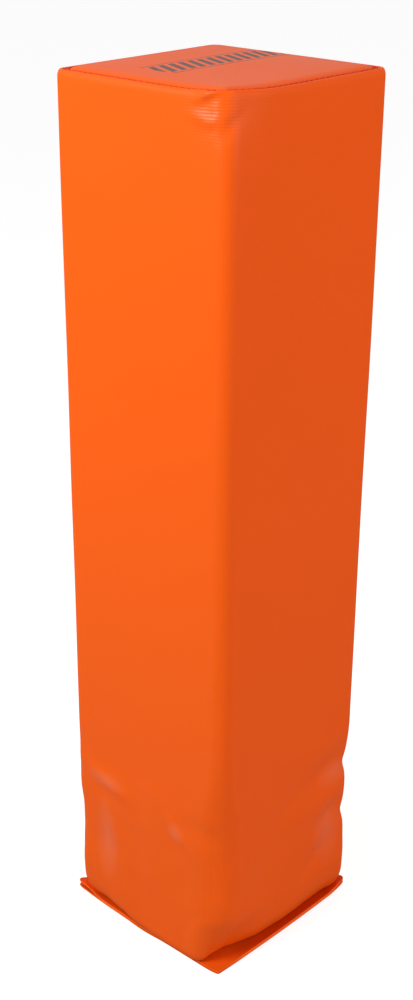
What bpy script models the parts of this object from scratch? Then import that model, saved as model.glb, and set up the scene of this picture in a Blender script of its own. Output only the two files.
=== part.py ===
"""Football field pylon with a weighted foot.

A sewn cover of coated fabric holds a block of foam, and under the foam a loose pouch of ballast.
The cover is three pieces: a sheet wrapped round the four sides, a top panel whose seam is turned
inside, and a bottom panel whose seam is turned outside, as a flange round the foot.

Metres, +Z up. The origin is on the ground under the middle of the pylon. The upright edges are
named by where they stand: front (+X -Y), left (-X -Y), right (+X +Y) and back (-X +Y).
"""

import math
from collections import namedtuple

import bmesh
import bpy
from mathutils import Vector

# Overall size
HEIGHT = 0.4572
SIDE = 0.1082
EDGE_RADIUS = 0.0060
FLARE = 0.0005

# Coated fabric of the cover, woven cloth of the pouch, and the air between pieces that touch
PLY = 0.0008
POUCH_PLY = 0.0006
FIT = 0.0003

# Top seam: the cover's wall rolls inwards and both edges hang inside as seam allowance
TOP_ALLOWANCE = 0.0080
WALL_ROLL = 0.0013
WALL_ROLL_RISE = 0.0030
GROOVE_DEPTH = 0.0040
PANEL_ROLL_WIDTH = 0.0045
PANEL_ROLL_DROP = 0.0025
GATHER_ROOM = 0.0003

# Back seam: both edges of the wrap lie folded flat behind the back side
BACK_ALLOWANCE = 0.0090
BACK_SEAM_LOW = 0.0260
BACK_SEAM_TRIM = 0.0060

# Base seam: both edges are turned outside and lie on the ground as a flange
FLANGE_INSET = 0.0035
FLANGE_WIDTH = 0.0085
FLANGE_TIP_RADIUS = 0.0015
LEFT_FRONT_BOW = 0.0020
RIGHT_FRONT_BOW = 0.0011

# Foot of the wall: it springs from a tight bend and swells out over the flange. The curve of the
# swell is a full quarter round where the wall is drawn in, and nearly square where it is pushed out
FOOT_RADIUS = 0.0075
FOOT_BEND = 0.0007
FOOT_SWELL = 0.0190
DRAWN_SQUARENESS = 3.2
PUSHED_SQUARENESS = 30.0

# Foot of the right front side, drawn in near the front edge: how far, where, and over what size
DRAW = 0.0100
DRAW_PLACE = -0.0460
DRAW_SPAN = 0.0180
DRAW_HEIGHT = 0.0240

# Dog-eared corners of the flange: how far each tip stands up and reaches out, over what length it
# bends, and how far its two plies part there
EAR_SPAN = 0.0140
EAR_REACH = 0.0030
EAR_PARTING = 0.0003
LEFT_EAR_LIFT = 0.0072
RIGHT_EAR_LIFT = 0.0052
BACK_EAR_LIFT = 0.0028

# Foam block, with room round the hem, and pouch, with its slack in the cover
FOAM_BASE = 0.1100
FOAM_EDGE = 0.0040
FOAM_BACK_RADIUS = 0.0120
HEM_ROOM = 0.0007
POUCH_RADIUS = 0.0140
POUCH_BACK_RADIUS = 0.0200
POUCH_SHOULDER = 0.0200
POUCH_SHOULDER_IN = 0.0060
POUCH_MOUTH = 0.0120
POUCH_SLACK = 0.0020

# How far up the foam the slack vinyl reaches, and the corner drawn in at the front of the top
SLACK_RISE = 0.0120
TOP_TUCK = (-0.0045, 0.0018)
TOP_TUCK_SPAN = 0.0180

# Mesh density of the lofts
ARC_STEPS = 4
SIDE_STEPS = 8
BODY_ROWS = 6
SLACK_ROWS = 12
FOOT_ROWS = 4
ROLL_STEPS = 4

# What follows from the sizes above, measured to the middle of a ply
WALL = (SIDE - PLY) / 2
BELLY = WALL - FLARE
LAP = PLY + FIT
EDGE = EDGE_RADIUS - PLY / 2
TOP_SEAM = WALL - 2 * WALL_ROLL - GATHER_ROOM - LAP / 2
ROLL_HEIGHT = HEIGHT - GROOVE_DEPTH
HEM_END = ROLL_HEIGHT - TOP_ALLOWANCE
BACK_SEAM_HIGH = HEM_END - BACK_SEAM_TRIM
SLACK_TOP = FOAM_BASE + SLACK_RISE
FLANGE_HEIGHT = PLY + FIT + PLY / 2
FLANGE_REACH = SIDE / 2 - FLANGE_INSET
FOOT_REACH = FLANGE_REACH - FLANGE_WIDTH
UNDERSIDE = FLANGE_HEIGHT + 2 * FOOT_BEND

EAR_LIFT = {(-1, -1): LEFT_EAR_LIFT, (1, 1): RIGHT_EAR_LIFT, (-1, 1): BACK_EAR_LIFT}

# One level of a loft: distance from the axis to the sides, height, and radius of the corners
Row = namedtuple("Row", "reach height radius")

# A fold in the slack vinyl: the side or the edge that it lies on, how far along and how high its
# middle is, how steeply it climbs along that side, and its sizes
Fold = namedtuple("Fold", "side along height climb length width depth")

SLACK_FOLDS = (
    Fold((1, 1), 0.000, 0.088, 0.00, 0.016, 0.0060, 0.0022),
    Fold((1, 1), 0.000, 0.057, 0.00, 0.016, 0.0060, 0.0022),
    Fold((1, 0), 0.013, 0.099, 0.05, 0.026, 0.0070, 0.0010),
    Fold((1, 0), 0.026, 0.060, 0.30, 0.018, 0.0080, 0.0010),
    Fold((0, -1), -0.029, 0.087, -0.33, 0.018, 0.0070, 0.0011),
    Fold((0, -1), 0.025, 0.083, -0.70, 0.014, 0.0060, 0.0011),
    Fold((0, -1), 0.037, 0.019, 1.10, 0.009, 0.0050, 0.0012),
    Fold((-1, -1), 0.000, 0.060, 0.00, 0.016, 0.0200, 0.0013),
    Fold((-1, 0), 0.000, 0.074, -0.40, 0.020, 0.0070, 0.0012),
    Fold((0, 1), -0.008, 0.082, -0.35, 0.020, 0.0070, 0.0012),
)

# How far the ballast pushes the wall over the flange, from 0 to 1, by compass angle in degrees
SLUMP = ((-180, 0.45), (-135, 0.05), (-112, 0.85), (-60, 1.00), (-48, 0.60), (-35, 0.05),
         (0, 0.30), (45, 0.05), (90, 0.45), (135, 0.05), (180, 0.45))


def clear_scene():
    """Remove whatever the file holds."""
    for old in list(bpy.data.objects):
        bpy.data.objects.remove(old, do_unlink=True)


def new_collection(name):
    """A collection in the scene."""
    collection = bpy.data.collections.new(name)
    bpy.context.scene.collection.children.link(collection)
    return collection


def material(name, colour, roughness):
    """A plain dielectric finish."""
    made = bpy.data.materials.new(name)
    made.use_nodes = True
    shader = made.node_tree.nodes["Principled BSDF"]
    shader.inputs["Base Color"].default_value = (*colour, 1.0)
    shader.inputs["Roughness"].default_value = roughness
    shader.inputs["Metallic"].default_value = 0.0
    made.diffuse_color = (*colour, 1.0)
    return made


def eased(t):
    """0 to 1 with level ends."""
    t = min(max(t, 0.0), 1.0)
    return t * t * (3 - 2 * t)


def arc(centre_x, centre_y, radius, start, steps, sweep=90):
    """Points on a level arc, anticlockwise, angles in degrees."""
    angles = (math.radians(start + sweep * i / steps) for i in range(steps + 1))
    return [(centre_x + radius * math.cos(a), centre_y + radius * math.sin(a)) for a in angles]


def run(first, last, steps):
    """Points inside a straight run, without its ends, closer together towards the ends."""
    shares = ((1 - math.cos(math.pi * i / steps)) / 2 for i in range(1, steps))
    return [
        (first[0] + (last[0] - first[0]) * t, first[1] + (last[1] - first[1]) * t) for t in shares
    ]


def closed_outline(reach, radius, back_radius=None):
    """A square with round corners, anticlockwise from the back edge."""
    if back_radius is None:
        back_radius = radius
    inner = reach - radius
    back = reach - back_radius
    corners = (
        arc(-back, back, back_radius, 90, ARC_STEPS),
        arc(-inner, -inner, radius, 180, ARC_STEPS),
        arc(inner, -inner, radius, 270, ARC_STEPS),
        arc(inner, inner, radius, 0, ARC_STEPS),
    )
    points = []
    for corner, following in zip(corners, corners[1:] + corners[:1]):
        points += corner + run(corner[-1], following[0], SIDE_STEPS)
    return points


def wrap_outline(reach, radius, seamed):
    """The wrap on one level, open at the back edge, anticlockwise from there and home again.

    Where it is seamed the left side passes in behind the back side by two plies.
    """
    inner = reach - radius
    step = 2 * LAP if seamed else 0.0
    end = (-inner + (PLY if seamed else FIT), reach)
    points = arc(-inner, reach - step - radius, radius, 90, ARC_STEPS)
    for corner in (
        arc(-inner, -inner, radius, 180, ARC_STEPS),
        arc(inner, -inner, radius, 270, ARC_STEPS),
        arc(inner, inner, radius, 0, ARC_STEPS),
        [end],
    ):
        points += run(points[-1], corner[0], SIDE_STEPS) + corner
    return points


def seam_plies(reach, radius):
    """The wrap's two edges behind the back side: the inner ply, then the fold and the outer ply."""
    fold_x = radius - reach + PLY
    end_x = fold_x + BACK_ALLOWANCE
    inner_ply = [(end_x, reach - 2 * LAP), ((fold_x + end_x) / 2, reach - 2 * LAP)]
    fold = arc(fold_x, reach - LAP / 2, LAP / 2, 90, ARC_STEPS, 180)[1:]
    return inner_ply, fold + [(end_x, reach - LAP)]


def slump_at(x, y):
    """How far the wall lies over the flange at this place on the plan."""
    angle = math.degrees(math.atan2(y, x))
    for (low, before), (high, after) in zip(SLUMP, SLUMP[1:]):
        if angle <= high:
            return before + (after - before) * eased((angle - low) / (high - low))
    return SLUMP[-1][1]


def flange_point(x, y, row, upper):
    """A point of the flange: its two front sides bow out, and its corners are bent up.

    The upper ply needs a little more room where it is bent.
    """
    share = (row.reach - FOOT_REACH) / FLANGE_WIDTH
    point = Vector((x, y, row.height))
    if y < 0 and abs(x) < -y:
        point.y -= LEFT_FRONT_BOW * share * (1 - (x / row.reach) ** 2)
    elif x > 0 and abs(y) < x:
        point.x += RIGHT_FRONT_BOW * share * (1 - (y / row.reach) ** 2)
    for (side_x, side_y), lift in EAR_LIFT.items():
        tip = math.hypot(x - side_x * FLANGE_REACH, y - side_y * FLANGE_REACH)
        if tip < EAR_SPAN:
            near = 1 - tip / EAR_SPAN
            point += Vector((side_x, side_y, 0)).normalized() * EAR_REACH * near * near
            point.z += lift * near * near
            if upper:
                slope = 2 * lift / EAR_SPAN * near
                point.z += LAP * (math.hypot(1, slope) - 1) + EAR_PARTING * eased(2 * near)
    return point


def flared(height):
    """How far out the cover's sides stand above the slack vinyl, more towards the top seam."""
    return BELLY + FLARE * eased((height - SLACK_TOP) / (BACK_SEAM_HIGH - SLACK_TOP))


def drawn_in(point):
    """The foot of the right front side is drawn in near the front edge."""
    beside = (point.y - DRAW_PLACE) / DRAW_SPAN
    low = 1 - eased(point.z / DRAW_HEIGHT)
    outer = eased(point.x / (FOOT_REACH - DRAW))
    return point - Vector((DRAW * math.exp(-beside * beside) * low * outer, 0, 0))


def tucked(point):
    """The top's front corner is drawn in by its gathered seam, mostly from the right side."""
    away = (point - Vector((WALL, -WALL, HEIGHT))).length / TOP_TUCK_SPAN
    return point + Vector((*TOP_TUCK, 0)) * math.exp(-away * away)


def slackened(point):
    """The folds of the slack vinyl round the pouch."""
    moved = point.copy()
    for fold in SLACK_FOLDS:
        out = Vector((*fold.side, 0))
        beside = Vector((-out.y, out.x, 0)).normalized()
        middle = out * BELLY + beside * fold.along + Vector((0, 0, fold.height))
        offset = point - middle
        along = offset.dot((beside + Vector((0, 0, fold.climb))).normalized())
        across = offset.length_squared - along * along
        share = math.exp(-((along / fold.length) ** 2) - across / fold.width ** 2)
        moved -= out.normalized() * fold.depth * share
    return moved


def loft(name, rows, collection, finish, closed=True, caps=(False, False)):
    """An object lofted through rows of points. Rows run upwards, and points run anticlockwise.

    A None in a row leaves a gap in the sheet there.
    """
    mesh = bmesh.new()
    grid = [[None if p is None else mesh.verts.new(p) for p in row] for row in rows]
    columns = len(grid[0])
    for low, high in zip(grid, grid[1:]):
        for i in range(columns if closed else columns - 1):
            j = (i + 1) % columns
            corners = (low[i], low[j], high[j], high[i])
            if None not in corners:
                mesh.faces.new(corners)
    bmesh.ops.triangulate(mesh, faces=mesh.faces[:], quad_method="SHORT_EDGE")
    if caps[0]:
        mesh.faces.new(reversed(grid[0]))
    if caps[1]:
        mesh.faces.new(grid[-1])
    data = bpy.data.meshes.new(name)
    mesh.to_mesh(data)
    mesh.free()
    data.shade_smooth()
    data.set_sharp_from_angle(angle=math.radians(40))
    data.materials.append(finish)
    made = bpy.data.objects.new(name, data)
    collection.objects.link(made)
    return made


def thicken(sheet, thickness, even=True):
    """Give a sheet its ply, half on each side."""
    solid = sheet.modifiers.new("ply", "SOLIDIFY")
    solid.thickness = thickness
    solid.offset = 0
    solid.use_even_offset = even


def top_rows():
    """The wrap's edge above the back seam: the end of the wall, the roll, and the hem inside."""
    centre = WALL - WALL_ROLL
    rows = [(WALL, HEM_END - PLY)]
    for i in range(ROLL_STEPS + 1):
        angle = math.pi * i / ROLL_STEPS
        reach = centre + WALL_ROLL * math.cos(angle)
        rows.append((reach, ROLL_HEIGHT + WALL_ROLL_RISE * math.sin(angle)))
    rows.append((rows[-1][0], HEM_END))
    return [Row(reach, height, EDGE - (WALL - reach)) for reach, height in rows]


def foot_rows(squareness):
    """The wrap from the foot's bend up to the slack wall."""
    rows = []
    for i in range(1, FOOT_ROWS + 1):
        angle = math.pi / 2 * i / (FOOT_ROWS + 1)
        out = math.sin(angle) ** (2 / squareness)
        up = 1 - math.cos(angle) ** (2 / squareness)
        reach = FOOT_REACH + (BELLY - FOOT_REACH) * out
        rows.append(Row(reach, UNDERSIDE + FOOT_SWELL * up, FOOT_RADIUS))
    return rows


def build_side_wrap(collection, finish):
    """One sheet round the four sides, with its hem, its back seam and its flange."""
    flange = [
        Row(FLANGE_REACH, FLANGE_HEIGHT, FLANGE_TIP_RADIUS),
        Row(FLANGE_REACH - FLANGE_WIDTH / 2, FLANGE_HEIGHT, FOOT_RADIUS / 2),
    ]
    bend = []
    for i in range(ROLL_STEPS + 1):
        angle = math.radians(270 - 180 * i / ROLL_STEPS)
        reach = FOOT_REACH + FOOT_BEND * math.cos(angle)
        height = FLANGE_HEIGHT + FOOT_BEND + FOOT_BEND * math.sin(angle)
        bend.append(Row(reach, height, FOOT_RADIUS))
    slack = []
    for i in range(SLACK_ROWS + 1):
        height = BACK_SEAM_LOW + (SLACK_TOP - BACK_SEAM_LOW) * i / SLACK_ROWS
        radius = FOOT_RADIUS + (EDGE - FOOT_RADIUS) * eased(height / FOAM_BASE)
        slack.append(Row(BELLY, height, radius))
    body = []
    for i in range(1, BODY_ROWS + 1):
        height = SLACK_TOP + (BACK_SEAM_HIGH - SLACK_TOP) * i / BODY_ROWS
        body.append(Row(flared(height), height, EDGE))

    rows = []
    no_inner, no_outer = [None] * 2, [None] * (ARC_STEPS + 1)
    for row in flange:
        line = wrap_outline(row.reach, row.radius, seamed=False)
        rows.append(no_inner + [flange_point(x, y, row, upper=True) for x, y in line] + no_outer)
    drawn_rows = bend + foot_rows(DRAWN_SQUARENESS)
    pushed_rows = bend + foot_rows(PUSHED_SQUARENESS)
    for drawn, pushed in zip(drawn_rows, pushed_rows):
        level = []
        drawn_line = wrap_outline(drawn.reach, drawn.radius, seamed=False)
        pushed_line = wrap_outline(pushed.reach, pushed.radius, seamed=False)
        for near, far in zip(drawn_line, pushed_line):
            share = slump_at(*near)
            point = Vector((*near, drawn.height)).lerp(Vector((*far, pushed.height)), share)
            level.append(drawn_in(point))
        rows.append(no_inner + level + no_outer)
    for row in slack + body:
        inner_ply, outer_ply = seam_plies(row.reach, row.radius)
        line = inner_ply + wrap_outline(row.reach, row.radius, seamed=True) + outer_ply
        rows.append([slackened(Vector((x, y, row.height))) for x, y in line])
    for row in top_rows():
        line = wrap_outline(row.reach, row.radius, seamed=False)
        rows.append(no_inner + [tucked(Vector((x, y, row.height))) for x, y in line] + no_outer)

    thicken(loft("side_wrap", rows, collection, finish, closed=False), PLY)


def build_top_panel(collection, finish):
    """The square top, rolled down to its seam, with its edge hanging inside."""
    reach = TOP_SEAM - LAP / 2
    crown = HEIGHT - PLY / 2
    rows = [Row(reach, HEM_END, 0)]
    for i in range(ROLL_STEPS + 1):
        angle = math.pi / 2 * i / ROLL_STEPS
        out = reach - PANEL_ROLL_WIDTH * (1 - math.cos(angle))
        rows.append(Row(out, crown - PANEL_ROLL_DROP * (1 - math.sin(angle)), 0))
    points = []
    for row in rows:
        line = closed_outline(row.reach, EDGE - (WALL - reach))
        points.append([tucked(Vector((x, y, row.height))) for x, y in line])
    thicken(loft("top_panel", points, collection, finish, caps=(False, True)), PLY)


def build_bottom_panel(collection, finish):
    """The flat base and lower ply of the flange."""
    rows = (
        Row(FOOT_REACH, PLY / 2, FOOT_RADIUS),
        Row(FLANGE_REACH - FLANGE_WIDTH / 2, PLY / 2, FOOT_RADIUS / 2),
        Row(FLANGE_REACH, PLY / 2, FLANGE_TIP_RADIUS),
    )
    points = []
    for row in rows:
        line = closed_outline(row.reach, row.radius)
        points.append([flange_point(x, y, row, upper=False) for x, y in line])
    sheet = loft("bottom_panel", points, collection, finish, caps=(True, False))
    thicken(sheet, PLY, even=False)


def build_foam_core(collection, cutters, finish):
    """A square block, stepped in at the top round the seam allowance and cut away for the back seam."""
    room = PLY / 2 + FIT
    low, full = BELLY - room, WALL - room - GATHER_ROOM
    ledge = TOP_SEAM - LAP / 2 - PLY / 2 - HEM_ROOM
    top = HEIGHT - PLY - FIT
    ledge_height = HEM_END - FIT - PLY / 2
    rows = [
        (low - FOAM_EDGE, FOAM_BASE),
        (low - FOAM_EDGE * 0.3, FOAM_BASE + FOAM_EDGE * 0.3),
        (low, FOAM_BASE + FOAM_EDGE),
    ]
    for i in range(BODY_ROWS + 1):
        height = SLACK_TOP + (BACK_SEAM_HIGH - SLACK_TOP) * i / BODY_ROWS
        rows.append((flared(height) - room, height))
    rows += [
        (full, ledge_height),
        (ledge, ledge_height),
        (ledge, top - PANEL_ROLL_DROP - PLY),
        (ledge - PANEL_ROLL_WIDTH - PLY, top),
    ]
    points = []
    for reach, height in rows:
        radius = EDGE + math.hypot(*TOP_TUCK) - (full - reach) / 2
        line = closed_outline(reach, radius, FOAM_BACK_RADIUS - (full - reach) / 2)
        points.append([tucked(Vector((x, y, height))) for x, y in line])
    foam = loft("foam_core", points, collection, finish, caps=(True, True))

    low_x, high_x = -SIDE, EDGE - BELLY + PLY + BACK_ALLOWANCE + FIT
    low_y, high_y = BELLY - 2 * LAP - PLY / 2 - FIT, SIDE
    low_z, high_z = 0.0, HEIGHT
    bpy.ops.mesh.primitive_cube_add(
        size=1,
        location=((low_x + high_x) / 2, (low_y + high_y) / 2, (low_z + high_z) / 2),
        scale=(high_x - low_x, high_y - low_y, high_z - low_z),
    )
    cutter = bpy.context.active_object
    cutter.name = "back_seam_recess"
    for holder in list(cutter.users_collection):
        holder.objects.unlink(cutter)
    cutters.objects.link(cutter)
    cutter.hide_render = True
    cutter.display_type = "WIRE"
    cut = foam.modifiers.new("back_seam_recess", "BOOLEAN")
    cut.operation = "DIFFERENCE"
    cut.object = cutter


def pouch_rows():
    """The full pouch from its flat base up its swollen sides to its shoulders."""
    base = PLY + FIT + POUCH_PLY / 2
    top = FOAM_BASE - FIT - POUCH_PLY / 2
    inset = PLY / 2 + POUCH_SLACK + POUCH_PLY / 2
    full = BELLY - inset
    narrow = FOOT_REACH - FOOT_BEND - PLY / 2 - FIT - POUCH_PLY / 2
    rows = [(narrow - POUCH_SLACK, base), (narrow, base + POUCH_SLACK)]
    for row in foot_rows(DRAWN_SQUARENESS):
        rows.append((row.reach - inset, row.height + inset / 2))
    rows.append((full, UNDERSIDE + FOOT_SWELL + inset / 2))
    for i in range(ROLL_STEPS + 1):
        angle = math.pi / 2 * i / ROLL_STEPS
        reach = full - POUCH_SHOULDER_IN * (1 - math.cos(angle))
        rows.append((reach, top - POUCH_SHOULDER * (1 - math.sin(angle))))
    return rows


def build_ballast_bag(collection, finish):
    """A cloth pouch, gathered to a small mouth under the foam."""
    rows = [(reach, height, POUCH_RADIUS, POUCH_BACK_RADIUS) for reach, height in pouch_rows()]
    top = rows[-1][1]
    for reach in (2 * POUCH_MOUTH, POUCH_MOUTH):
        rows.append((reach, top, reach * 0.95, reach * 0.95))
    points = []
    for reach, height, radius, back_radius in rows:
        line = closed_outline(reach, radius, back_radius)
        points.append([drawn_in(Vector((x, y, height))) for x, y in line])
    thicken(loft("ballast_bag", points, collection, finish, caps=(True, False)), POUCH_PLY)


def build_ballast_fill(collection, finish):
    """The grain, as one settled mass that fills the pouch."""
    shrink = POUCH_PLY / 2 + FIT
    rows = pouch_rows()
    low, high = rows[0][1] + shrink, rows[-1][1] - shrink
    points = []
    for reach, height in rows:
        line = closed_outline(reach - 2 * shrink, POUCH_RADIUS - shrink, POUCH_BACK_RADIUS - shrink)
        points.append([drawn_in(Vector((x, y, min(max(height, low), high)))) for x, y in line])
    loft("ballast_fill", points, collection, finish, caps=(True, True))


def build():
    """The whole pylon."""
    clear_scene()
    pylon = new_collection("football_field_pylon")
    cutters = new_collection("cutters")
    vinyl = material("orange_vinyl", (0.90, 0.13, 0.015), 0.42)
    foam = material("cream_foam", (0.80, 0.74, 0.58), 0.90)
    cloth = material("pouch_cloth", (0.62, 0.58, 0.50), 0.85)
    grain = material("ballast_grain", (0.45, 0.36, 0.25), 0.80)
    build_side_wrap(pylon, vinyl)
    build_top_panel(pylon, vinyl)
    build_bottom_panel(pylon, vinyl)
    build_foam_core(pylon, cutters, foam)
    build_ballast_bag(pylon, cloth)
    build_ballast_fill(pylon, grain)


build()
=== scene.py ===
"""Looks of a football field pylon: a sewn cover of orange coated fabric over foam and a weighted pouch.

Metres, +Z up. The upright edges are named by where they stand: front (+X -Y), left (-X -Y),
right (+X +Y) and back (-X +Y).
"""

import math
from collections import namedtuple

import bpy
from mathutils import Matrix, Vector, noise


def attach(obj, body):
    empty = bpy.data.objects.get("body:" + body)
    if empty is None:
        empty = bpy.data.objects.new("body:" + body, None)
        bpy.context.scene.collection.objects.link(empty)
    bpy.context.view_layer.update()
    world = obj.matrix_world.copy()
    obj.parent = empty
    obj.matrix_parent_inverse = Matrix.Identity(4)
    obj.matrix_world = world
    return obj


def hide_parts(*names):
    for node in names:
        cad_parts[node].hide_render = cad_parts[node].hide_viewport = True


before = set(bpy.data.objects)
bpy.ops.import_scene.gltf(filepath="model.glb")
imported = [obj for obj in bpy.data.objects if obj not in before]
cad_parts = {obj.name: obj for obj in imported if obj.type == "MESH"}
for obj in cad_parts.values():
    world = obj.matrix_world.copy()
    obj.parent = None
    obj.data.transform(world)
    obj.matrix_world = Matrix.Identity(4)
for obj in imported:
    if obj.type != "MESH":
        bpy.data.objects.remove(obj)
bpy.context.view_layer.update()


# Camera, where the photograph was taken from: a little above the top, looking down past the front edge.
# Its place, turn and lens come from the pylon's straight edges and corners in the photograph.
photo_width, photo_height = 413, 1000
focal_pixels = 1594.7
centre_across, centre_down = 178.6, 554.5
sensor = 36.0
bpy.ops.object.select_all(action="DESELECT")
bpy.ops.object.camera_add(
    location=(0.4983, -0.5494, 0.5688),
    rotation=(math.radians(90 - 25.58), math.radians(0.02), math.radians(43.71)),
)
camera = bpy.context.active_object
camera.name = "camera"
camera.data.sensor_width = sensor
camera.data.lens = focal_pixels * sensor / photo_height
camera.data.shift_x = (photo_width / 2 - centre_across) / photo_height
camera.data.shift_y = (centre_down - photo_height / 2) / photo_height
camera.data.clip_start = 0.01
bpy.context.scene.camera = camera
bpy.context.scene.view_settings.view_transform = "Standard"


class Signal:
    """A number or a colour on its way through a finish's nodes."""

    def __init__(self, tree, socket=None):
        self.tree = tree
        self.socket = socket

    def node(self, kind, settings=None, sockets=None, out=0):
        """Any node: its settings are set first, then the values or links of its sockets."""
        made = self.tree.nodes.new(kind)
        for name, value in (settings or {}).items():
            if name == "stops":
                for place, colour in value[:-2]:
                    made.color_ramp.elements.new(place)
                for element, (place, colour) in zip(made.color_ramp.elements, value):
                    element.position = place
                    element.color = (*colour, 1.0)
            else:
                setattr(made, name, value)
        for name, value in (sockets or {}).items():
            if isinstance(value, Signal):
                self.tree.links.new(value.socket, made.inputs[name])
            else:
                made.inputs[name].default_value = value
        return Signal(self.tree, made.outputs[out])

    def maths(self, operation, *values):
        return self.node("ShaderNodeMath", {"operation": operation}, dict(enumerate(values)))

    def __add__(self, other):
        return self.maths("ADD", self, other)

    def __sub__(self, other):
        return self.maths("SUBTRACT", self, other)

    def __rsub__(self, other):
        return self.maths("SUBTRACT", other, self)

    def __mul__(self, other):
        return self.maths("MULTIPLY", self, other)

    def __truediv__(self, other):
        return self.maths("DIVIDE", self, other)

    __radd__ = __add__
    __rmul__ = __mul__

    def sine(self):
        return self.maths("SINE", self)

    def clamp(self, low, high):
        return self.maths("MINIMUM", self.maths("MAXIMUM", self, low), high)

    def feed(self, shader, name):
        self.tree.links.new(self.socket, shader.inputs[name])

    def mix(self, plain, other):
        """Plain colour where this is 0, the other where it is 1."""
        return self.node(
            "ShaderNodeMix", {"data_type": "RGBA"}, {0: self, 6: plain, 7: other}, out=2
        )


def new_finish(name):
    """A material with its Principled shader, and the start of an expression."""
    made = bpy.data.materials.new(name)
    made.use_nodes = True
    return made, made.node_tree.nodes["Principled BSDF"], Signal(made.node_tree)


# Floor and light: a plain pale sheet that carries on out of view, a soft lamp near the left front side
# and a weaker one at the right. The camera sees the sheet white, with the pylon's soft shadow on it.
floor_size = 30.0
floor_glow = 0.82
bpy.ops.object.select_all(action="DESELECT")
bpy.ops.mesh.primitive_plane_add(size=floor_size)
floor = bpy.context.active_object
floor.name = "floor"
finish, shader, start = new_finish("white_sheet")
shader.inputs["Base Color"].default_value = (0.42, 0.42, 0.42, 1)
shader.inputs["Roughness"].default_value = 0.9
shader.inputs["Specular IOR Level"].default_value = 0.0
shader.inputs["Emission Color"].default_value = (1, 1, 1, 1)
seen = start.node("ShaderNodeLightPath", out="Is Camera Ray")
(floor_glow * seen).feed(shader, "Emission Strength")
floor.data.materials.append(finish)

world_light = 0.34
gloss_share = 0.6     # how much of the white surroundings the shine on the vinyl picks up
world = bpy.data.worlds.new("studio")
bpy.context.scene.world = world
world.use_nodes = True
start = Signal(world.node_tree)
background = world.node_tree.nodes["Background"]
background.inputs["Color"].default_value = (1, 1, 1, 1)
seen = start.node("ShaderNodeLightPath", out="Is Camera Ray")
glossed = start.node("ShaderNodeLightPath", out="Is Glossy Ray")
(world_light + (1 - world_light) * (seen + gloss_share * glossed).clamp(0, 1)).feed(background, "Strength")

lit_point = Vector((0, 0, 0.25))
for name, place, size, watts, tint in (
    ("left_softbox", (-0.21, -0.74, 0.77), 0.45, 7.55, (1.0, 1.0, 1.0)),
    ("right_softbox", (1.35, 0.20, 0.75), 1.0, 11.2, (1.0, 0.80, 0.78)),
):
    bpy.ops.object.select_all(action="DESELECT")
    bpy.ops.object.light_add(type="AREA", location=place)
    lamp = bpy.context.active_object
    lamp.name = name
    lamp.data.size = size
    lamp.data.energy = watts
    lamp.data.color = tint
    aim = lit_point - Vector(place)
    lamp.rotation_euler = aim.to_track_quat("-Z", "Y").to_euler()


# Ballast: dry grain, poured loose into the pouch in the pylon's foot until it is full. It has settled
# into the pouch's shape, with a flat base and a level top.
ply = 0.0008
pouch_ply = 0.0006
clearance = 0.0003
belly = 0.0532
foot_reach = 0.0421
foot_bend = 0.0007
underside = 0.0029
foot_swell = 0.0190
drawn_squareness = 3.2
foam_base = 0.1100
pouch_slack = 0.0035
pouch_radius = 0.0140
pouch_back_radius = 0.0200
pouch_shoulder = 0.0200
pouch_shoulder_in = 0.0060
Storey = namedtuple("Storey", "reach height radius back_radius front_radius", defaults=(None,))


def eased(t):
    """0 to 1 with level ends."""
    t = min(max(t, 0.0), 1.0)
    return t * t * (3 - 2 * t)


def drawn_in(point):
    """The foot of the right front side is drawn in near the front edge."""
    draw, place, span, high = 0.0112, -0.0428, 0.0170, 0.0345
    beside = (point.y - place) / span
    low = 1 - eased(point.z / high)
    outer = eased(point.x / (foot_reach - draw))
    return point - Vector((draw * math.exp(-beside * beside) * low * outer, 0, 0))


def on_level(across, along, storey):
    """Where a point of a square grid, -1 to 1, lies on a level with round corners."""
    ring = max(abs(across), abs(along))
    radius = storey.radius * ring
    if across < 0 < along:
        radius = storey.back_radius * ring
    elif along < 0 < across and storey.front_radius is not None:
        radius = storey.front_radius * ring
    inner = storey.reach * ring - radius
    x, y = storey.reach * abs(across), storey.reach * abs(along)
    if x > inner and y > inner and radius > 0:
        turn = math.pi / 4 * (y - inner) / radius
        if y > x:
            turn = math.pi / 2 - math.pi / 4 * (x - inner) / radius
        x, y = inner + radius * math.cos(turn), inner + radius * math.sin(turn)
    return Vector((math.copysign(x, across), math.copysign(y, along), storey.height))


def raise_block(name, steps, storeys):
    """A square grid drawn up storey by storey into a closed block, then set to its real shape."""
    bpy.ops.object.select_all(action="DESELECT")
    bpy.ops.mesh.primitive_grid_add(x_subdivisions=steps, y_subdivisions=steps, size=2)
    made = bpy.context.active_object
    made.name = made.data.name = name
    bpy.ops.object.mode_set(mode="EDIT")
    bpy.ops.mesh.select_all(action="SELECT")
    for _ in storeys[1:]:
        bpy.ops.mesh.extrude_region_move(TRANSFORM_OT_translate={"value": (0, 0, 1)})
    bpy.ops.mesh.select_all(action="SELECT")
    bpy.ops.mesh.normals_make_consistent(inside=False)
    bpy.ops.object.mode_set(mode="OBJECT")
    for vertex in made.data.vertices:
        across, along, level = vertex.co
        vertex.co = drawn_in(on_level(across, along, storeys[round(level)]))
    bpy.ops.object.shade_smooth()
    return made


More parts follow.
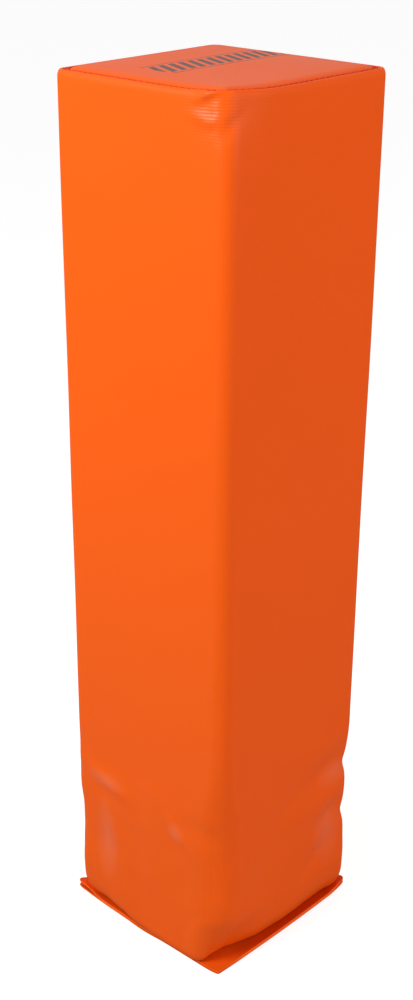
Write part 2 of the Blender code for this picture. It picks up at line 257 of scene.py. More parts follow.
def pouch_storeys(inside):
    """The pouch's sides from its flat base to its shoulders, this far inside its cloth."""
    base = ply + clearance + pouch_ply / 2 + inside
    top = foam_base - clearance - pouch_ply / 2 - inside
    inset = ply / 2 + pouch_slack + pouch_ply / 2
    narrow = foot_reach - foot_bend - ply / 2 - clearance - pouch_ply / 2
    sides = [(narrow - pouch_slack, base), (narrow, base + pouch_slack)]
    swell_steps, shoulder_steps = 10, 8
    for i in range(1, swell_steps):
        angle = math.pi / 2 * i / swell_steps
        swell = foot_reach + (belly - foot_reach) * math.sin(angle) ** (2 / drawn_squareness)
        level = underside + foot_swell * (1 - math.cos(angle) ** (2 / drawn_squareness))
        sides.append((swell - inset, level + inset / 2))
    for height in (0.032, 0.045, 0.060, 0.075):
        sides.append((belly - inset, height))
    for i in range(shoulder_steps + 1):
        angle = math.pi / 2 * i / shoulder_steps
        reach = belly - inset - pouch_shoulder_in * (1 - math.cos(angle))
        sides.append((reach, top - pouch_shoulder * (1 - math.sin(angle))))
    return [
        Storey(
            reach - inside, min(max(height, base), top), pouch_radius - inside, pouch_back_radius - inside
        )
        for reach, height in sides
    ]


kernel_scale = 420.0
grain = raise_block("ballast_grain", 40, pouch_storeys(pouch_ply / 2 + 2 * clearance))
finish, shader, start = new_finish("ballast_grain")
place = start.node("ShaderNodeTexCoord", out="Object")
kernels = start.node("ShaderNodeTexVoronoi", None, {"Vector": place, "Scale": kernel_scale}, "Distance")
tint = start.node("ShaderNodeTexVoronoi", None, {"Vector": place, "Scale": kernel_scale}, "Color")
shade = start.node("ShaderNodeSeparateColor", None, {"Color": tint}, "Red")
shade.mix((0.24, 0.19, 0.13, 1), (0.56, 0.47, 0.34, 1)).feed(shader, "Base Color")
relief = start.node("ShaderNodeBump", None, {"Distance": 0.0008, "Height": 1 - kernels}, "Normal")
relief.feed(shader, "Normal")
shader.inputs["Roughness"].default_value = 0.85
grain.data.materials.append(finish)
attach(grain, "root")
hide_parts("ballast_fill")


# Pouch: a bag of plain woven cloth round the grain. Its top is gathered towards a small mouth under the
# foam, and the cloth lies in pleats there.
mouth = 0.28
pleats, pleat_depth, pleat_reach = 22, 0.0002, 0.030
gathered_zone = 0.004
cloth_pitch = 0.0011
pouch = raise_block("ballast_pouch", 48, pouch_storeys(0.0))
pouch_top = max(vertex.co.z for vertex in pouch.data.vertices)
bpy.ops.object.mode_set(mode="EDIT")
bpy.ops.mesh.select_all(action="DESELECT")
bpy.ops.object.mode_set(mode="OBJECT")
for face in pouch.data.polygons:
    middle = face.center
    if middle.z > pouch_top - 1e-5 and math.hypot(middle.x, middle.y) < mouth * belly:
        face.select = True
bpy.ops.object.mode_set(mode="EDIT")
bpy.ops.mesh.delete(type="FACE")
bpy.ops.object.mode_set(mode="OBJECT")
for vertex in pouch.data.vertices:
    out = math.hypot(vertex.co.x, vertex.co.y)
    if vertex.co.z > pouch_top - gathered_zone:
        pleat = math.sin(pleats * math.atan2(vertex.co.y, vertex.co.x))
        vertex.co.z -= pleat_depth * (1 + pleat) * eased(1.6 - out / pleat_reach)
shell = pouch.modifiers.new("cloth", "SOLIDIFY")
shell.thickness = pouch_ply
shell.offset = 0
bpy.ops.object.modifier_apply(modifier="cloth")
finish, shader, start = new_finish("pouch_cloth")
place = start.node("ShaderNodeTexCoord", out="Object")
threads = 2 * math.pi / cloth_pitch
warp = (start.node("ShaderNodeSeparateXYZ", None, {0: place}, "X") * threads).sine()
turn = (start.node("ShaderNodeSeparateXYZ", None, {0: place}, "Y") * threads).sine()
weft = (start.node("ShaderNodeSeparateXYZ", None, {0: place}, "Z") * threads).sine()
weave = 0.5 + 0.17 * (warp + turn + weft)
weave.clamp(0, 1).mix((0.46, 0.42, 0.35, 1), (0.66, 0.62, 0.54, 1)).feed(shader, "Base Color")
start.node("ShaderNodeBump", None, {"Distance": 0.0003, "Height": weave}, "Normal").feed(shader, "Normal")
shader.inputs["Roughness"].default_value = 0.9
pouch.data.materials.append(finish)
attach(pouch, "root")
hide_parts("ballast_bag")


# Foam: one block of cream foam, cut square and stepped in round the top seam. It keeps the cover flat and
# firm from the pouch up. A strip is cut away at the back edge for the cover's folded seam.
height = 0.4572
wall = 0.0537
flare = wall - belly
slack_top = 0.1220
wall_roll, wall_roll_rise = 0.0013, 0.0030
roll_height = height - 0.0040
hem_end = roll_height - 0.0080
seam_high = hem_end - 0.0060
edge_radius = 0.0056
lap = ply + clearance
gather_room = 0.0003
hem_room = 0.0007
foam_radius, foam_back_radius = 0.0104, 0.0120
recess_middle, recess_size = (-0.0700, 0.0810, 0.25), (0.0640, 0.0610, 0.6)
top_seam = wall - 2 * wall_roll - gather_room - lap / 2


def flared(level):
    """How far out the cover's sides stand above the slack vinyl, more towards the top seam."""
    return belly + flare * eased((level - slack_top) / (seam_high - slack_top))


def tucked(point):
    """The top's front corner is drawn in by its gathered seam, mostly from the right side."""
    tuck, span = Vector((-0.0045, 0.0018, 0.0012)), 0.0180
    away = (point - Vector((wall, -wall, height))).length / span
    return point + tuck * math.exp(-away * away)


foam_room = ply / 2 + clearance
ledge = top_seam - lap / 2 - ply / 2 - hem_room
foam_sides = [(belly - foam_room - 0.0040, foam_base), (belly - foam_room - 0.0012, foam_base + 0.0012)]
foam_sides += [(belly - foam_room, foam_base + 0.0040)]
firm_heights = (0.122, 0.16, 0.20, 0.25, 0.30, 0.35, 0.40, 0.425)
foam_sides += [(flared(level) - foam_room, level) for level in firm_heights]
foam_shoulder = wall - foam_room - gather_room
foam_sides += [(foam_shoulder, hem_end - clearance - ply / 2), (ledge, hem_end - clearance - ply / 2)]
foam_sides += [(ledge, height - 0.0045), (ledge - 0.0025, height - 0.0022), (ledge - 0.0055, height - 0.0012)]
foam_storeys = [
    Storey(reach, level, foam_radius - (wall - reach) / 2, foam_back_radius - (wall - reach) / 2)
    for reach, level in foam_sides
]
foam = raise_block("foam_block", 40, foam_storeys)
for vertex in foam.data.vertices:
    vertex.co = tucked(vertex.co)
bpy.ops.object.select_all(action="DESELECT")
bpy.ops.mesh.primitive_cube_add(size=1, location=recess_middle, scale=recess_size)
recess = bpy.context.active_object
bpy.ops.object.select_all(action="DESELECT")
foam.select_set(True)
bpy.context.view_layer.objects.active = foam
cut = foam.modifiers.new("seam_recess", "BOOLEAN")
cut.operation = "DIFFERENCE"
cut.solver = "EXACT"
cut.object = recess
bpy.ops.object.modifier_apply(modifier="seam_recess")
bpy.data.objects.remove(recess, do_unlink=True)
bpy.ops.object.shade_smooth_by_angle(angle=math.radians(40))
finish, shader, start = new_finish("cream_foam")
place = start.node("ShaderNodeTexCoord", out="Object")
cells = start.node("ShaderNodeTexVoronoi", None, {"Vector": place, "Scale": 900.0}, "Distance")
patches = start.node("ShaderNodeTexNoise", None, {"Vector": place, "Scale": 30.0, "Detail": 3.0})
shade = (0.5 * cells + 0.5 * patches).clamp(0, 1)
shade.mix((0.66, 0.58, 0.41, 1), (0.84, 0.79, 0.64, 1)).feed(shader, "Base Color")
start.node("ShaderNodeBump", None, {"Distance": 0.0004, "Height": cells}, "Normal").feed(shader, "Normal")
shader.inputs["Roughness"].default_value = 0.95
foam.data.materials.append(finish)
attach(foam, "root")
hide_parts("foam_core")


# Base panel: a square of coated fabric, flat on the ground. Its edge is the lower ply of the flange, which
# is turned outwards and stands up in small dog-ears at three corners.
flange_reach = 0.0506
flange_width = flange_reach - foot_reach
flange_height = ply + clearance + ply / 2
foot_radius = 0.0075
flange_tip_radius, flange_front_radius = 0.0034, 0.0004
ear_span = 0.0150
curl_outwards = 0.70
left_bow, middle_bow, right_bow = 0.0012, 0.0009, 0.0011

# The dog-ears by corner: how high the tip stands, how far the plies part there, how far it is pushed out
ears = {
    (-1, -1): (0.0040, 0.0020, 0.0036),
    (1, 1): (0.0028, 0.0008, 0.0004),
    (-1, 1): (0.0028, 0.0003, 0.0030),
}

# How high the flange's edge curls up, by the angle round the pylon
curls = ((-180, 0.0), (-155, 0.0), (-135, 0.0028), (-115, 0.0022), (-92, 0.0), (-44, 0.0), (-24, 0.0030),
         (15, 0.0040), (45, 0.0038), (75, 0.0), (180, 0.0))


def round_about(table, x, y):
    """A value set out by the angle round the pylon, in degrees, at this place on the plan."""
    angle = math.degrees(math.atan2(y, x))
    for (low, before), (high, after) in zip(table, table[1:]):
        if angle <= high:
            return before + (after - before) * eased((angle - low) / (high - low))
    return table[-1][1]


def flange_point(point, reach, upper):
    """The flange's front sides bow out, its edge curls up, and its corners are bent up further."""
    share = (reach - foot_reach) / flange_width
    moved = point.copy()
    if share <= 0:
        return moved
    if point.y < 0 and abs(point.x) < -point.y:
        bow = left_bow * eased((point.x + 0.052) / 0.030)
        bow += middle_bow * math.exp(-((point.x + 0.004) / 0.012) ** 2)
        moved.y -= bow * share * (1 - (point.x / reach) ** 16)
    elif point.x > 0 and abs(point.y) < point.x:
        moved.x += right_bow * share * (1 - (point.y / reach) ** 2)
    curl = round_about(curls, point.x, point.y)
    spread_out = curl_outwards * curl * share / max(abs(point.x), abs(point.y))
    moved += Vector((point.x, point.y, 0)) * spread_out
    moved.z += curl * share * share
    for (side_x, side_y), (lift, parted, push) in ears.items():
        tip = math.hypot(point.x - side_x * flange_reach, point.y - side_y * flange_reach)
        if tip < ear_span:
            near = 1 - tip / ear_span
            moved += Vector((side_x, side_y, 0)).normalized() * push * near * near
            moved.z += lift * near * near
            if upper:
                slope = 2 * lift / ear_span * near
                moved.z += lap * (math.hypot(1, slope) - 1) + parted * eased(1.4 * near)
    return moved


def painted_sheen_patches(start, place):
    """Where sheen is painted on the slack vinyl: soft patches, each with its middle and its reach."""
    sheen_patches = 0
    for middle, reach in (
        ((0.053, 0.034, 0.050), (0.020, 0.013, 0.024)),
        ((0.053, 0.040, 0.086), (0.020, 0.016, 0.009)),
        ((-0.031, -0.053, 0.048), (0.010, 0.020, 0.030)),
        ((-0.030, -0.053, 0.088), (0.016, 0.020, 0.006)),
        ((0.022, -0.053, 0.079), (0.007, 0.020, 0.007)),
        ((0.010, 0.053, 0.060), (0.026, 0.020, 0.026)),
    ):
        off = start.node("ShaderNodeVectorMath", {"operation": "SUBTRACT"}, {0: place, 1: middle}, "Vector")
        off = start.node("ShaderNodeVectorMath", {"operation": "DIVIDE"}, {0: off, 1: reach}, "Vector")
        away = start.node("ShaderNodeVectorMath", {"operation": "LENGTH"}, {0: off}, "Value")
        sheen_patches = sheen_patches + (1 - away).clamp(0, 1)
    return sheen_patches


net_pitch = 0.00125
strained_corner, strained_reach = (0.042, -0.054, 0.447), 0.016
# How high the painted shade at the foot reaches.
painted_shade_height = 0.0060


def vinyl_finish(name, marked=False):
    """Orange vinyl, pressed on a net of threads that shows where the sheet is bent and shiny."""
    made, shader, start = new_finish(name)
    place = start.node("ShaderNodeTexCoord", out="Object")
    sheet = start.node("ShaderNodeUVMap", {"uv_map": "cut"})
    pitch = 2 * math.pi / net_pitch
    down = (start.node("ShaderNodeSeparateXYZ", None, {0: sheet}, "Y") * pitch).sine()
    across = (start.node("ShaderNodeSeparateXYZ", None, {0: sheet}, "X") * pitch).sine()
    ends = {0: place, 1: strained_corner}
    corner = start.node("ShaderNodeVectorMath", {"operation": "DISTANCE"}, ends, "Value")
    strained = (1 - corner / strained_reach).clamp(0, 1)
    grain = start.node("ShaderNodeTexNoise", None, {"Vector": place, "Scale": 1400.0, "Detail": 2.0})
    drift = start.node("ShaderNodeTexNoise", None, {"Vector": place, "Scale": 22.0, "Detail": 3.0})
    shade = (0.35 + 0.3 * drift + 0.10 * down + 0.05 * across).clamp(0, 1)
    colour = shade.mix((0.87, 0.106, 0.0030, 1), (0.96, 0.122, 0.0038, 1))
    # Painted sheen: these patches are coloured a paler, pinker orange, and given more coat.
    sheen_patches = painted_sheen_patches(start, place)
    colour = (sheen_patches * (0.2 + 0.8 * drift)).clamp(0, 0.6).mix(colour, (0.86, 0.160, 0.045, 1))
    crests = (down - 0.3).clamp(0, 1)
    (1.0 * strained * crests + 0.5 * sheen_patches).clamp(0, 1).feed(shader, "Coat Weight")
    shader.inputs["Coat Roughness"].default_value = 0.32
    # Painted shade: the vinyl is coloured a darker, mottled red towards the ground, up to about six
    # millimetres, for the shade in the flange's crevice under the foot.
    low = start.node("ShaderNodeSeparateXYZ", None, {0: place}, "Z")
    painted_foot_shade = (1.2 - low / painted_shade_height).clamp(0, 1) * (0.35 + 0.5 * drift)
    colour = painted_foot_shade.mix(colour, (0.52, 0.060, 0.0025, 1))
    if marked:
        colour = printed(start, place).mix(colour, (0.115, 0.062, 0.058, 1))
    colour.feed(shader, "Base Color")
    (0.40 + 0.10 * drift + 0.03 * down).clamp(0.2, 0.8).feed(shader, "Roughness")
    relief = down * (0.20 + 1.1 * strained * drift) + 0.12 * across + 0.35 * grain
    bump = {"Strength": 0.5, "Distance": 0.00010, "Height": relief}
    start.node("ShaderNodeBump", None, bump, "Normal").feed(shader, "Normal")
    shader.inputs["Specular IOR Level"].default_value = 0.15
    return made


def cut_edge_finish():
    """The cut edge of the vinyl, where its core shows paler than the face."""
    made, shader, start = new_finish("vinyl_cut_edge")
    place = start.node("ShaderNodeTexCoord", out="Object")
    fuzz = start.node("ShaderNodeTexNoise", None, {"Vector": place, "Scale": 700.0, "Detail": 2.0})
    fuzz.mix((0.86, 0.105, 0.006, 1), (1.0, 0.17, 0.012, 1)).feed(shader, "Base Color")
    shader.inputs["Roughness"].default_value = 0.7
    shader.inputs["Specular IOR Level"].default_value = 0.2
    return made


def set_cut(made, flat):
    """Writes where each vertex lies on the flat cut sheet, in metres, into the sheet's own map."""
    layer = made.data.uv_layers[0]
    layer.name = "cut"
    for loop in made.data.loops:
        layer.data[loop.index].uv = flat[loop.vertex_index]


def give_ply(made, even=True):
    """Gives a sheet its thickness, half on each side, with the cut edge in the second material."""
    bpy.ops.object.select_all(action="DESELECT")
    made.select_set(True)
    bpy.context.view_layer.objects.active = made
    shell = made.modifiers.new("ply", "SOLIDIFY")
    shell.thickness = ply
    shell.offset = 0
    shell.use_even_offset = even
    shell.material_offset_rim = 1
    bpy.ops.object.modifier_apply(modifier="ply")
    bpy.ops.object.shade_smooth_by_angle(angle=math.radians(40))


def ringed_sheet(name, steps, rings, shaped):
    """A square sheet whose rings, from the middle to the edge, take the levels given."""
    bpy.ops.object.select_all(action="DESELECT")
    bpy.ops.mesh.primitive_grid_add(x_subdivisions=2 * steps, y_subdivisions=2 * steps, size=2)
    made = bpy.context.active_object
    made.name = made.data.name = name
    flat = []
    for vertex in made.data.vertices:
        across, along = vertex.co.x, vertex.co.y
        ring = max(abs(across), abs(along))
        storey, cut_reach = rings[round(ring * steps)]
        if ring > 0:
            across, along = across / ring, along / ring
        across, along = (0.6 * t + 0.4 * math.sin(math.pi / 2 * t) for t in (across, along))
        vertex.co = shaped(on_level(across, along, storey), storey)
        flat.append((across * cut_reach, along * cut_reach))
    set_cut(made, flat)
    return made


inner_rings, flange_rings = 36, 8
base_rings = []
for i in range(inner_rings + 1):
    reach = foot_reach * i / inner_rings
    radius = foot_radius * i / inner_rings
    base_rings.append((Storey(reach, ply / 2, radius, radius), reach))
for i in range(1, flange_rings + 1):
    reach = foot_reach + flange_width * i / flange_rings
    radius = foot_radius + (flange_tip_radius - foot_radius) * i / flange_rings
    front = foot_radius + (flange_front_radius - foot_radius) * i / flange_rings
    base_rings.append((Storey(reach, ply / 2, radius, radius, front), reach))
base_panel = ringed_sheet(
    "base_panel",
    len(base_rings) - 1,
    base_rings,
    lambda point, storey: flange_point(point, storey.reach, False),
)
base_panel.data.materials.append(vinyl_finish("orange_vinyl_base"))
cut_edge = cut_edge_finish()
base_panel.data.materials.append(cut_edge)
give_ply(base_panel, even=False)
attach(base_panel, "root")
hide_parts("bottom_panel")


# Side wrap: one sheet of orange vinyl round the foam and the pouch, closed at the back edge by a folded
# seam. Its top edge rolls inwards to the top seam, and its bottom edge is turned outside as a flange.
# It lies firm on the foam, and hangs slack and creased round the ballast.
pushed_squareness = 30.0
seam_low = 0.0260
seam_allowance = 0.0090
side_steps, corner_steps = 56, 10
front_edge_radius, slack_rounding = 0.0074, 0.0086
wave_height, ripple_height, firm_wave_height = 0.0009, 0.0004, 0.00025
crease_side_reach = 0.0080
Level = namedtuple("Level", "reach height radius seamed front", defaults=(None,))
Crease = namedtuple("Crease", "side along height climb length width depth lip")

# How far the wall lies over the flange, 1 at most and less than 0 where it is drawn back, by the angle
# round the pylon
slump = (
    (-180, 0.45), (-150, 0.22), (-135, 0.05), (-125, -0.04), (-112, 0.42), (-100, 0.88), (-85, 1.00),
    (-48, 1.00), (-41, 0.38), (-35, 0.02), (-25, -0.45), (-12, -0.55), (2, -0.40), (15, -0.42),
    (25, -0.52), (32, -0.60), (38, -0.60), (45, 0.00), (60, 0.12), (90, 0.45), (135, 0.05), (180, 0.45),
)

# The creases: the side or the edge, how far along, how high, how steeply they climb, then their sizes and
# how high the lip beside them stands
creases = (
    Crease((1, 1), 0.000, 0.0870, 0.00, 0.020, 0.0052, 0.0016, 0.15),
    Crease((1, 1), 0.000, 0.0560, 0.00, 0.020, 0.0056, 0.0018, 0.15),
    Crease((1, 1), 0.000, 0.0720, 0.00, 0.022, 0.0200, 0.0012, 0.0),
    Crease((-1, -1), 0.000, 0.0600, 0.00, 0.022, 0.0220, 0.0015, 0.0),
    Crease((1, 0), 0.034, 0.0915, 0.16, 0.020, 0.0090, 0.0018, 0.1),
    Crease((1, 0), 0.010, 0.0850, 0.30, 0.030, 0.0090, 0.0010, 0.1),
    Crease((1, 0), 0.038, 0.0620, 0.30, 0.013, 0.0060, 0.0014, 0.4),
    Crease((1, 0), 0.028, 0.0400, 0.70, 0.014, 0.0060, 0.0010, 0.4),
    Crease((0, -1), -0.030, 0.0880, -0.34, 0.016, 0.0042, -0.0011, 0.0),
    Crease((0, -1), -0.026, 0.0800, -0.34, 0.016, 0.0070, 0.0005, 0.0),
    Crease((0, -1), 0.024, 0.0790, -0.90, 0.013, 0.0028, -0.0007, 0.0),
    Crease((0, -1), 0.040, 0.0870, -0.20, 0.010, 0.0060, 0.0005, 0.3),
    Crease((0, -1), -0.032, 0.0480, -8.00, 0.024, 0.0070, 0.0010, 0.5),
    Crease((0, -1), 0.018, 0.0040, 0.00, 0.021, 0.0090, -0.0010, 0.0),
    Crease((0, -1), 0.032, 0.0135, 1.30, 0.008, 0.0026, 0.0012, 0.7),
    Crease((0, -1), 0.041, 0.0220, 0.60, 0.007, 0.0030, 0.0009, 0.5),
    Crease((-1, 0), 0.000, 0.0740, -0.40, 0.022, 0.0080, 0.0012, 0.4),
    Crease((-1, 0), 0.025, 0.0450, 0.60, 0.016, 0.0065, 0.0009, 0.4),
    Crease((0, 1), -0.008, 0.0820, -0.35, 0.022, 0.0080, 0.0012, 0.4),
    Crease((0, 1), 0.026, 0.0500, 0.50, 0.014, 0.0065, 0.0008, 0.4),
    Crease((1, -1), 0.003, 0.4440, 0.90, 0.0090, 0.0026, 0.0009, 0.3),
    Crease((0, -1), 0.0460, 0.4420, 0.45, 0.0050, 0.0016, 0.0004, 0.8),
    Crease((0, -1), 0.0400, 0.4452, -0.18, 0.0080, 0.0022, -0.0011, 0.0),
    Crease((0, -1), 0.0450, 0.4562, 0.33, 0.0085, 0.0020, -0.0016, 0.0),
    Crease((0, -1), 0.0460, 0.4530, 0.38, 0.0085, 0.0020, 0.0005, 0.0),
)


def spread(first, last, steps):
    """Points inside a straight run, somewhat closer towards its ends."""
    for i in range(1, steps):
        t = 0.5 * i / steps + 0.25 * (1 - math.cos(math.pi * i / steps))
        yield first[0] + (last[0] - first[0]) * t, first[1] + (last[1] - first[1]) * t


def corner_arc(x, y, radius, start, steps, sweep=90):
    """Points on a level arc, anticlockwise, angles in degrees."""
    for i in range(steps + 1):
        angle = math.radians(start + sweep * i / steps)
        yield x + radius * math.cos(angle), y + radius * math.sin(angle)


def wrap_line(level):
    """One level of the sheet, from its inner ply at the back edge anticlockwise round to its outer ply."""
    reach, radius, front = level.reach, level.radius, level.front or level.radius
    inner = reach - radius
    step = 2 * lap if level.seamed else 0.0
    line = list(corner_arc(-inner, reach - step - radius, radius, 90, corner_steps))
    end = (-inner + (ply if level.seamed else clearance), reach)
    for corner in (
        list(corner_arc(-inner, -inner, radius, 180, corner_steps)),
        list(corner_arc(reach - front, front - reach, front, 270, corner_steps)),
        list(corner_arc(inner, inner, radius, 0, corner_steps)),
        [end],
    ):
        line += list(spread(line[-1], corner[0], side_steps)) + corner
    fold_x = radius - reach + ply
    end_x = fold_x + seam_allowance
    inner_ply = [(end_x, reach - 2 * lap), ((fold_x + end_x) / 2, reach - 2 * lap)]
    outer_ply = list(corner_arc(fold_x, reach - lap / 2, lap / 2, 90, 6, 180))[1:] + [(end_x, reach - lap)]
    return inner_ply + line + outer_ply


def creased(point):
    """The folds of the slack vinyl, and its soft waves."""
    moved = point.copy()
    for crease in creases:
        if abs(point.z - crease.height) > 3 * max(crease.width, min(crease.length, 0.03)):
            continue
        out = Vector((*crease.side, 0))
        beside = Vector((-out.y, out.x, 0)).normalized()
        offset = point - (out * belly + beside * crease.along + Vector((0, 0, crease.height)))
        lengthwise = (beside + Vector((0, 0, crease.climb))).normalized()
        level_run = math.hypot(lengthwise.x, lengthwise.y)
        upwards = Vector((-beside.x * lengthwise.z, -beside.y * lengthwise.z, level_run))
        along, across = offset.dot(lengthwise), offset.dot(upwards)
        away = offset.dot(out.normalized())
        share = math.exp(-((along / crease.length) ** 2) - (away / crease_side_reach) ** 2)
        valley = math.exp(-((across / crease.width) ** 2))
        lip = crease.lip * math.exp(-(((across - 1.7 * crease.width) / crease.width) ** 2))
        moved -= out.normalized() * crease.depth * share * (valley - lip)
    outwards = Vector((point.x, point.y, 0)).normalized()
    slack = eased((0.125 - point.z) / 0.03) * eased(point.z / 0.02)
    wave = wave_height * noise.noise(point * 32) + ripple_height * noise.noise(point * 75 + Vector((3, 1, 2)))
    firm = firm_wave_height * noise.noise(point * 14 + Vector((0, 5, 0)))
    return moved + outwards * (slack * wave + firm)


def front_radius(level):
    """The front edge is rounder where the vinyl hangs slack, and less so at the seam."""
    slack = eased((0.140 - level) / 0.070)
    return front_edge_radius + slack_rounding * slack * (0.55 + 0.45 * eased(level / seam_low))


flange_rows, bend_rows, swell_rows, slack_rows, roll_rows = 6, 6, 13, 50, 12
levels = []
for i in range(flange_rows):
    share = i / flange_rows
    radius = flange_tip_radius + (foot_radius - flange_tip_radius) * share
    front = flange_front_radius + (foot_radius - flange_front_radius) * share
    level = Level(flange_reach - flange_width * share, flange_height, radius, False, front)
    levels.append(("flange", level, None))
for i in range(bend_rows + 1):
    angle = math.radians(270 - 180 * i / bend_rows)
    reach = foot_reach + foot_bend * math.cos(angle)
    level = flange_height + foot_bend * (1 + math.sin(angle))
    level = Level(reach, level, foot_radius, False, front_radius(level))
    levels.append(("foot", level, level))
for i in range(1, swell_rows):
    angle = math.pi / 2 * i / swell_rows
    pair = []
    for squareness in (drawn_squareness, pushed_squareness):
        reach = foot_reach + (belly - foot_reach) * math.sin(angle) ** (2 / squareness)
        level = underside + foot_swell * (1 - math.cos(angle) ** (2 / squareness))
        pair.append(Level(reach, level, foot_radius, False, front_radius(level)))
    levels.append(("foot", *pair))
for i in range(slack_rows + 1):
    level = seam_low + (slack_top - seam_low) * i / slack_rows
    radius = foot_radius + (edge_radius - foot_radius) * eased(level / foam_base)
    levels.append(("wall", Level(belly, level, radius, True, front_radius(level)), None))
finer_above = 0.424     # the rows lie closer from here up, where the corner is creased
firm_levels = [slack_top + (finer_above - slack_top) * i / 24 for i in range(1, 25)]
firm_levels += [finer_above + (seam_high - finer_above) * i / 11 for i in range(1, 12)]
for level in firm_levels:
    levels.append(("wall", Level(flared(level), level, edge_radius, True, front_radius(level)), None))
for i in range(1, 5):
    level = seam_high + (hem_end - seam_high) * i / 4
    levels.append(("wall", Level(wall, level, edge_radius, False, front_radius(level)), None))
for i in range(1, 7):
    level = hem_end + (roll_height - hem_end) * i / 7
    levels.append(("wall", Level(wall, level, edge_radius, False, front_radius(level)), None))
for i in range(roll_rows + 1):
    angle = math.pi * i / roll_rows
    reach = wall - wall_roll + wall_roll * math.cos(angle)
    inset = wall - reach
    level = roll_height + wall_roll_rise * math.sin(angle)
    level = Level(reach, level, edge_radius - inset, False, front_radius(level) - inset)
    levels.append(("wall", level, None))
for i in range(1, 4):
    level = roll_height + (hem_end - roll_height) * i / 3
    inset = 2 * wall_roll
    level = Level(reach, level, edge_radius - inset, False, front_radius(level) - inset)
    levels.append(("wall", level, None))

rows = []
for kind, level, pushed in levels:
    line = wrap_line(level)
    if kind == "flange":
        row = [flange_point(Vector((x, y, level.height)), level.reach, True) for x, y in line]
    elif kind == "foot":
        row = []
        for near, far in zip(line, wrap_line(pushed)):
            lean = round_about(slump, *near)
            if lean < 0:
                lean *= eased((level.height - underside) / 0.0014)
            point = Vector((*near, level.height)).lerp(Vector((*far, pushed.height)), lean)
            row.append(creased(drawn_in(point)))
    else:
        row = [tucked(creased(drawn_in(Vector((x, y, level.height))))) for x, y in line]
    rows.append(row)

# The flat sheet: its width is the girth of the firm wall with both folded edges, and its height runs up
# the middle of the left front side
inner_points, outer_points = 2, 7     # of the folded edges, at the two ends of each row
flat_line = wrap_line(Level(belly, 0.2, edge_radius, True))
flat_across = [0.0]
for before, after in zip(flat_line, flat_line[1:]):
    flat_across.append(flat_across[-1] + math.dist(before, after))
middle = inner_points + corner_steps + side_steps + corner_steps + side_steps // 2
flat_up = [0.0]
for below, above in zip(rows, rows[1:]):
    flat_up.append(flat_up[-1] + (above[middle] - below[middle]).length)

across_steps, up_steps = len(flat_line) - 1, len(rows) - 1
bpy.ops.object.select_all(action="DESELECT")
bpy.ops.mesh.primitive_grid_add(x_subdivisions=across_steps, y_subdivisions=up_steps, size=1)
side_wrap = bpy.context.active_object
side_wrap.name = side_wrap.data.name = "cover_wrap"
first, last = inner_points, len(flat_line) - outer_points - 1
flat = []
loose = []
for vertex in side_wrap.data.vertices:
    column = round((vertex.co.x + 0.5) * across_steps)
    row = round((vertex.co.y + 0.5) * up_steps)
    if not levels[row][1].seamed and not first <= column <= last:
        loose.append(vertex.index)
    vertex.co = rows[row][column]
    flat.append((flat_across[column], flat_up[row]))
set_cut(side_wrap, flat)
bpy.ops.object.mode_set(mode="EDIT")
bpy.ops.mesh.select_all(action="DESELECT")
bpy.ops.object.mode_set(mode="OBJECT")
for index in loose:
    side_wrap.data.vertices[index].select = True
bpy.ops.object.mode_set(mode="EDIT")
bpy.ops.mesh.select_mode(type="VERT")
bpy.ops.mesh.delete(type="VERT")
bpy.ops.object.mode_set(mode="OBJECT")
side_wrap.data.materials.append(vinyl_finish("orange_vinyl_wrap"))
side_wrap.data.materials.append(cut_edge)
give_ply(side_wrap)
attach(side_wrap, "root")
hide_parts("side_wrap")


# Top panel: a square of the same vinyl, sewn to the wrap inside out and turned, so that it rolls down to
# the seam on all four sides and its edge hangs inside. It is a little crowned, and carries a printed mark.
panel_reach = top_seam - lap / 2
crown = height + 0.0010 - ply / 2
pillow = 0.0005
panel_roll, panel_drop = 0.0048, 0.0026
panel_radius, panel_front_radius = 0.0035, 0.0018
roll_cut, hem_cut = 0.0068, 0.0075     # how much of the flat sheet the roll and the hem take up
hem_lap = 0.0010
crown_rings, panel_roll_rings, hem_rings = 40, 8, 4
ink_edge = 0.0003


def printed(start, place):
    """Where the dark ink lies: a plain band of slanted bars between two thin rules."""
    x = start.node("ShaderNodeSeparateXYZ", None, {0: place}, "X")
    y = start.node("ShaderNodeSeparateXYZ", None, {0: place}, "Y")
    middle, half = -0.0095, 0.0082
    centre, half_length = 0.0070, 0.0400
    bar_pitch, bar_slant = 0.0062, 0.45
    rule_gap, rule_half = 0.0022, 0.0005
    off = start.maths("ABSOLUTE", x - middle)
    length = start.maths("ABSOLUTE", y - centre)
    ends = ((half_length - length) / ink_edge).clamp(0, 1)
    bars = (((y + bar_slant * x) * (2 * math.pi / bar_pitch)).sine() / 0.12 + 2.0).clamp(0, 1)
    body = ((half - off) / ink_edge).clamp(0, 1) * bars
    rules = ((rule_half - start.maths("ABSOLUTE", off - half - rule_gap)) / ink_edge).clamp(0, 1)
    return (body + rules).clamp(0, 1) * ends


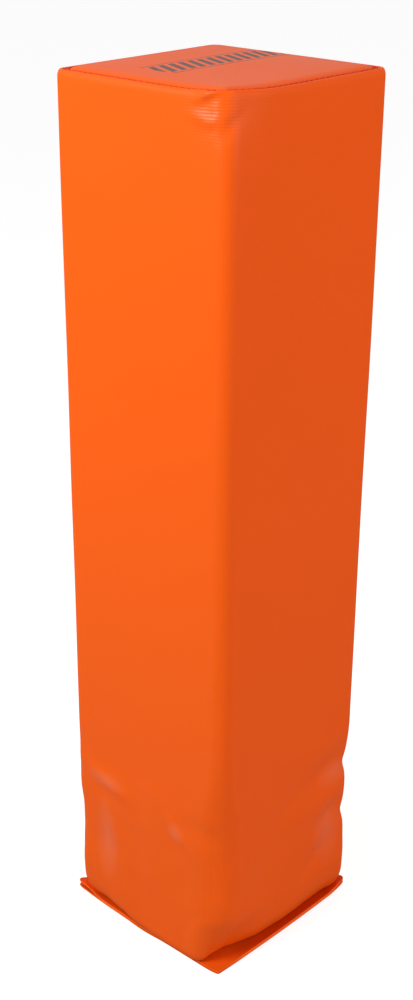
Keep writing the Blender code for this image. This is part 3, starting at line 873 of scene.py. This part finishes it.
panel_rings = []
for i in range(crown_rings + 1):
    share = i / crown_rings
    reach = (panel_reach - panel_roll) * share
    radius = panel_radius * share
    storey = Storey(reach, crown - pillow * share ** 3, radius, radius, panel_front_radius * share)
    panel_rings.append((storey, reach))
for i in range(1, panel_roll_rings + 1):
    angle = math.pi / 2 * i / panel_roll_rings
    reach = panel_reach - panel_roll * (1 - math.sin(angle))
    level = crown - pillow - panel_drop * (1 - math.cos(angle))
    storey = Storey(reach, level, panel_radius, panel_radius, panel_front_radius)
    panel_rings.append((storey, panel_reach - panel_roll + roll_cut * i / panel_roll_rings))
for i in range(1, hem_rings + 1):
    level = crown - pillow - panel_drop + (hem_end - crown + pillow + panel_drop) * i / hem_rings
    storey = Storey(panel_reach, level, panel_radius, panel_radius, panel_front_radius)
    panel_rings.append((storey, panel_reach + hem_lap + hem_cut * i / hem_rings))
top_panel = ringed_sheet("cover_top", len(panel_rings) - 1, panel_rings, lambda point, storey: tucked(point))
top_panel.data.materials.append(vinyl_finish("orange_vinyl_top", marked=True))
top_panel.data.materials.append(cut_edge)
give_ply(top_panel)
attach(top_panel, "root")
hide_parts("top_panel")
panel_cut = 2 * panel_rings[-1][1]


# Sewing threads: lockstitches of orange thread, about seven to the inch. The top seam's lie in the groove
# between the panel and the wall, the base seam's go through both plies of the flange, and the back seam's
# hold the two folded edges inside.
stitch_pitch = 0.0035
stitch_length = 0.0026
stitch_radius = 0.00035
thread, shader, start = new_finish("orange_thread")
place = start.node("ShaderNodeTexCoord", out="Object")
fuzz = start.node("ShaderNodeTexNoise", None, {"Vector": place, "Scale": 900.0, "Detail": 2.0})
# Painted shade: the orange thread is coloured a deeper, darker red-orange, for the shade of the grooves it
# lies in.
fuzz.mix((0.52, 0.030, 0.004, 1), (0.80, 0.060, 0.008, 1)).feed(shader, "Base Color")
start.node("ShaderNodeBump", None, {"Distance": 0.0001, "Height": fuzz}, "Normal").feed(shader, "Normal")
shader.inputs["Roughness"].default_value = 0.8
bpy.ops.object.select_all(action="DESELECT")
bpy.ops.mesh.primitive_uv_sphere_add(segments=6, ring_count=5, radius=stitch_radius)
stitch = bpy.context.active_object
for vertex in stitch.data.vertices:
    vertex.co = Vector((vertex.co.z, vertex.co.x, vertex.co.y))
    if abs(vertex.co.x) > 1e-6:
        vertex.co.x += math.copysign(stitch_length / 2 - stitch_radius, vertex.co.x)
bpy.ops.object.shade_smooth()
stitch.data.materials.append(thread)


def sew(name, lines):
    """Copies the stitch along each line of points, and joins the copies into one thread."""
    copies = []
    for line in lines:
        walked = stitch_pitch / 2
        for here, there in zip(line, line[1:]):
            step = (there - here).length
            while walked < step:
                copy = bpy.data.objects.new("stitch", stitch.data.copy())
                turned = (there - here).to_track_quat("X", "Z").to_matrix()
                for vertex in copy.data.vertices:
                    vertex.co = here.lerp(there, walked / step) + turned @ vertex.co
                bpy.context.collection.objects.link(copy)
                copies.append(copy)
                walked += stitch_pitch
            walked -= step
    bpy.ops.object.select_all(action="DESELECT")
    for copy in copies:
        copy.select_set(True)
    bpy.context.view_layer.objects.active = copies[0]
    bpy.ops.object.join()
    sewn = bpy.context.active_object
    sewn.name = sewn.data.name = name
    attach(sewn, "root")


def seam_line(reach, level, radius, shaped):
    """A closed line of points round the cover at one level."""
    line = []
    for side in range(4):
        cos, sin = math.cos(math.pi / 2 * side), math.sin(math.pi / 2 * side)
        for x, y in corner_arc(reach - radius, reach - radius, radius, 0, 8):
            line.append(Vector((x * cos - y * sin, x * sin + y * cos, level)))
        line += [line[-1].lerp(Vector((-line[-9].y, line[-9].x, level)), i / 12) for i in range(1, 12)]
    return [shaped(point) for point in line + line[:1]]


sew("top_seam_thread", [seam_line(top_seam + 0.0003, height - 0.0008, edge_radius - 0.0026, tucked)])
seat = foot_reach + 0.0012
over = seam_line(seat, flange_height + ply / 2 + 0.0001, foot_radius, drawn_in)
under = seam_line(seat, 0.0003, foot_radius, drawn_in)
sew("base_seam_thread", [over, under])
fold_x = edge_radius - belly + ply + seam_allowance * 0.6
seam_y = [belly - 2 * lap - ply / 2, belly - lap + ply / 2]
sewn_low, sewn_high = 0.030, seam_high - 0.004
sew("back_seam_thread", [[Vector((fold_x, y, sewn_low)), Vector((fold_x, y, sewn_high))] for y in seam_y])
bpy.data.objects.remove(stitch, do_unlink=True)
